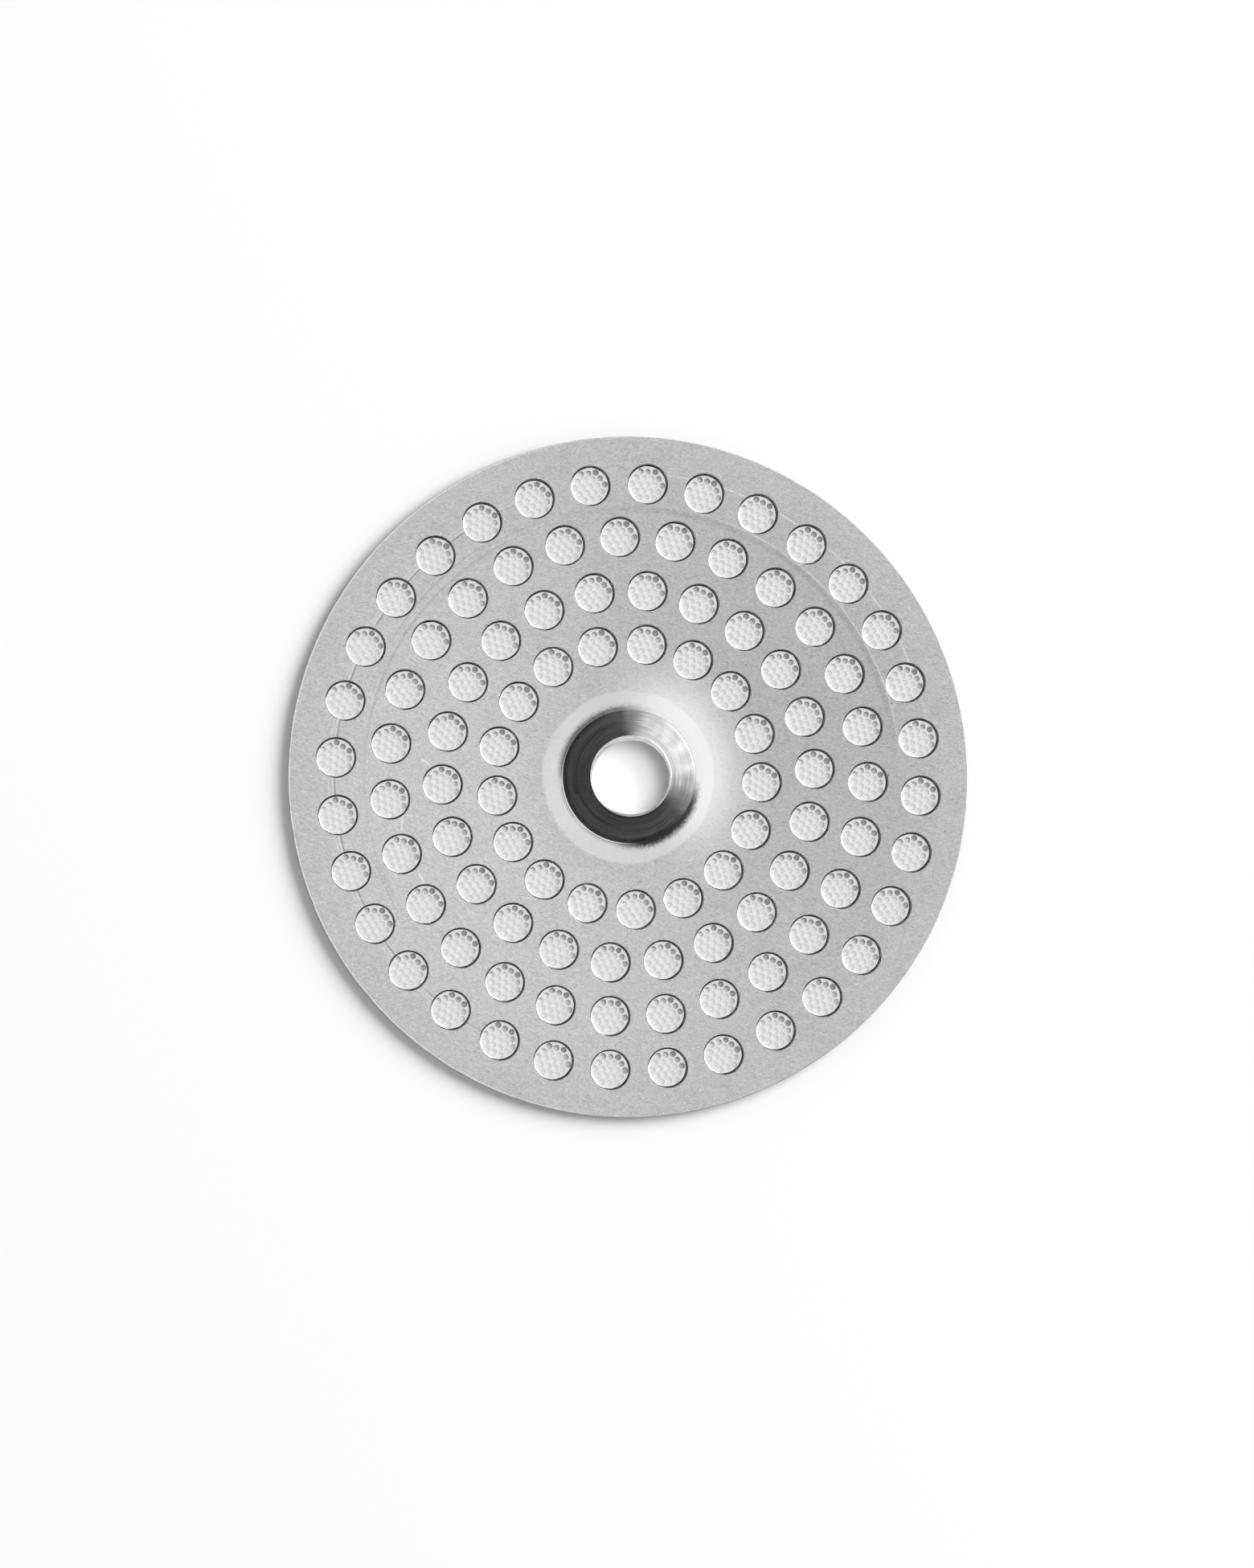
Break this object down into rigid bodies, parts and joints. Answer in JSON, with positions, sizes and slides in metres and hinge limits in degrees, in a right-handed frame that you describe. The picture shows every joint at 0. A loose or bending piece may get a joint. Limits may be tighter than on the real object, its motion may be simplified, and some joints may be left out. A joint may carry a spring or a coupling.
{
  "type": "espresso shower screen",
  "caption": "Round stainless steel water screen for an espresso group, with rings of etched pockets, fine holes in each pocket and a raised cone round its screw hole.",
  "frame": {"origin": "centre of the flat coffee side, on the axis of the screw hole", "axes": "+Z out of the water side along the screw hole's axis, +X through a pocket of the outermost ring, on the line that all the rings share"},
  "size_m": [0.058, 0.058, 0.0033],
  "materials": {
    "stainless_steel": "cold rolled sheet with a fine slanting grain, light rub marks from fitting, and a turned cone"
  },
  "bodies": {
    "root": {"shower_screen": "stainless_steel"}
  },
  "joints": []
}
